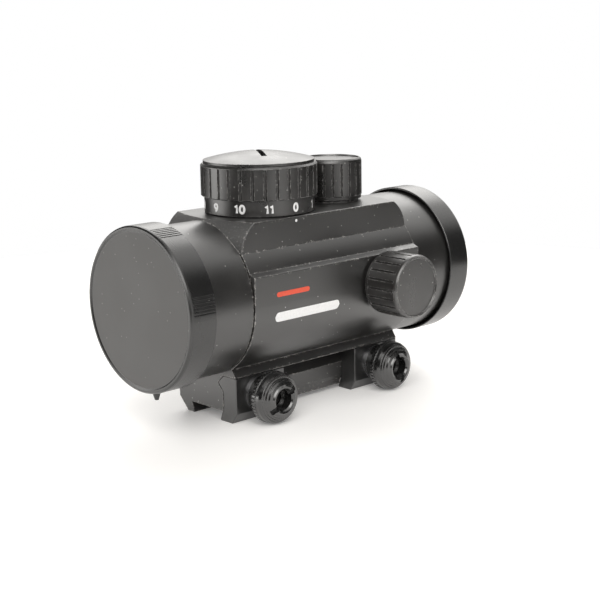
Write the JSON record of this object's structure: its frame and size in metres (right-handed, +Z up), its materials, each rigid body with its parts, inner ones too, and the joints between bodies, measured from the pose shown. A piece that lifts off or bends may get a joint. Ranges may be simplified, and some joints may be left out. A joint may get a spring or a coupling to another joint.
{
  "type": "red dot sight",
  "caption": "Tube-type red dot sight with push-on lens caps, brightness dial on top, capped adjusting turrets and a two-nut clamp for a dovetail rail.",
  "frame": {"origin": "middle of the rail channel's seat, on the channel's centre line", "axes": "+X along the rail and the optical axis towards the objective, +Z up from the rail to the brightness dial"},
  "size_m": [0.0974, 0.0508, 0.065],
  "materials": {
    "body_black": "satin black anodised, fine cast texture",
    "knob_black": "satin black anodised",
    "clamp_black": "satin black anodised",
    "nut_black": "glossy black, turned rings",
    "stud_black": "blackened",
    "cap_plastic": "black moulded, glossy skirt and matt face",
    "inner_black": "matt black anodised",
    "hub_plastic": "matt black moulded",
    "steel": "plain turned",
    "screw_brass": "turned brass",
    "contact_brass": "sprung sheet",
    "cell_steel": "bright plated can",
    "board_green": "green solder mask",
    "seal_rubber": "black rubber",
    "lens_glass": "red reflecting coating",
    "window_glass": "anti-reflection coating",
    "led_red": "clear red lamp"
  },
  "bodies": {
    "housing": {"main_body": "body_black", "rear_bezel": "body_black", "rear_window": "window_glass", "front_bezel": "body_black", "pivot_seat": "inner_black", "bias_spring": "steel", "elevation_collar": "body_black", "windage_collar": "body_black", "dial_hub": "hub_plastic", "hub_screws": "steel", "switch_board": "board_green", "dial_retaining_screw": "steel", "clamp_studs": "stud_black"},
    "brightness_dial": {"dial_knob": "knob_black", "dial_wiper": "contact_brass", "battery_contact": "contact_brass", "battery": "cell_steel"},
    "battery_cap": {"battery_cap": "knob_black", "battery_cap_seal": "seal_rubber"},
    "elevation_cap": {"elevation_cap": "knob_black", "elevation_cap_seal": "seal_rubber"},
    "windage_cap": {"windage_cap": "knob_black", "windage_cap_seal": "seal_rubber"},
    "elevation_screw": {"elevation_screw": "screw_brass"},
    "elevation_plunger": {"elevation_plunger": "steel"},
    "windage_screw": {"windage_screw": "screw_brass"},
    "windage_plunger": {"windage_plunger": "steel"},
    "pivot_ring": {"pivot_ring": "inner_black"},
    "inner_tube": {"inner_tube": "inner_black", "objective_lens": "lens_glass", "lens_ring": "inner_black", "led_housing": "hub_plastic", "led": "led_red"},
    "rear_jaw": {"rear_jaw": "clamp_black", "rear_washer": "steel"},
    "rear_nut": {"rear_nut": "nut_black"},
    "front_jaw": {"front_jaw": "clamp_black", "front_washer": "steel"},
    "front_nut": {"front_nut": "nut_black"},
    "rear_lens_cap": {"rear_lens_cap": "cap_plastic"},
    "front_lens_cap": {"front_lens_cap": "cap_plastic"}
  },
  "joints": [
    {"name": "dial_turn", "type": "hinge", "parent": "housing", "child": "brightness_dial", "pos_m": [-0.00955, 0, 0.0473], "axis": [0, 0, -1], "range_deg": [0, 330]},
    {"name": "battery_cap_lift", "type": "slide", "parent": "brightness_dial", "child": "battery_cap", "axis": [0, 0, 1], "range_m": [0, 0.02]},
    {"name": "elevation_cap_lift", "type": "slide", "parent": "housing", "child": "elevation_cap", "axis": [0, 0, 1], "range_m": [0, 0.02]},
    {"name": "windage_cap_pull", "type": "slide", "parent": "housing", "child": "windage_cap", "axis": [0, -1, 0], "range_m": [0, 0.02]},
    {"name": "elevation_turn", "type": "hinge", "parent": "housing", "child": "elevation_screw", "pos_m": [0.0158, 0, 0.05], "axis": [0, 0, -1], "range_deg": [-360, 360]},
    {"name": "elevation_push", "type": "slide", "parent": "housing", "child": "elevation_plunger", "axis": [0, 0, -1], "range_m": [-0.00051, 0.00051]},
    {"name": "windage_turn", "type": "hinge", "parent": "housing", "child": "windage_screw", "pos_m": [0.0158, -0.022, 0.0277], "axis": [0, 1, 0], "range_deg": [-360, 360]},
    {"name": "windage_push", "type": "slide", "parent": "housing", "child": "windage_plunger", "axis": [0, 1, 0], "range_m": [-0.00051, 0.00051]},
    {"name": "inner_tube_nod", "type": "hinge", "parent": "housing", "child": "pivot_ring", "pos_m": [-0.036, 0, 0.0277], "axis": [0, 1, 0], "range_deg": [-0.55, 0.55], "deforming": ["bias_spring"]},
    {"name": "inner_tube_swing", "type": "hinge", "parent": "pivot_ring", "child": "inner_tube", "pos_m": [-0.036, 0, 0.0277], "axis": [0, 0, 1], "range_deg": [-0.55, 0.55]},
    {"name": "rear_jaw_slide", "type": "slide", "parent": "housing", "child": "rear_jaw", "axis": [0, -1, 0], "range_m": [0, 0.0014]},
    {"name": "rear_nut_turn", "type": "hinge", "parent": "rear_jaw", "child": "rear_nut", "pos_m": [-0.0208, -0.0155, 0.00385], "axis": [0, -1, 0], "range_deg": [0, 720]},
    {"name": "front_jaw_slide", "type": "slide", "parent": "housing", "child": "front_jaw", "axis": [0, -1, 0], "range_m": [0, 0.0014]},
    {"name": "front_nut_turn", "type": "hinge", "parent": "front_jaw", "child": "front_nut", "pos_m": [0.0208, -0.0155, 0.00385], "axis": [0, -1, 0], "range_deg": [0, 720]},
    {"name": "rear_lens_cap_pull", "type": "slide", "parent": "housing", "child": "rear_lens_cap", "axis": [-1, 0, 0], "range_m": [0, 0.03]},
    {"name": "front_lens_cap_pull", "type": "slide", "parent": "housing", "child": "front_lens_cap", "axis": [1, 0, 0], "range_m": [0, 0.03]}
  ],
  "couplings": [
    {"joint": "elevation_turn", "follows": "inner_tube_nod", "ratio": 650.94},
    {"joint": "elevation_push", "follows": "inner_tube_nod", "m_per_rad": 0.0518},
    {"joint": "windage_turn", "follows": "inner_tube_swing", "ratio": 650.94},
    {"joint": "windage_push", "follows": "inner_tube_swing", "m_per_rad": 0.0518},
    {"joint": "rear_nut_turn", "follows": "rear_jaw_slide", "rad_per_m": 8975.9},
    {"joint": "front_nut_turn", "follows": "front_jaw_slide", "rad_per_m": 8975.9}
  ]
}
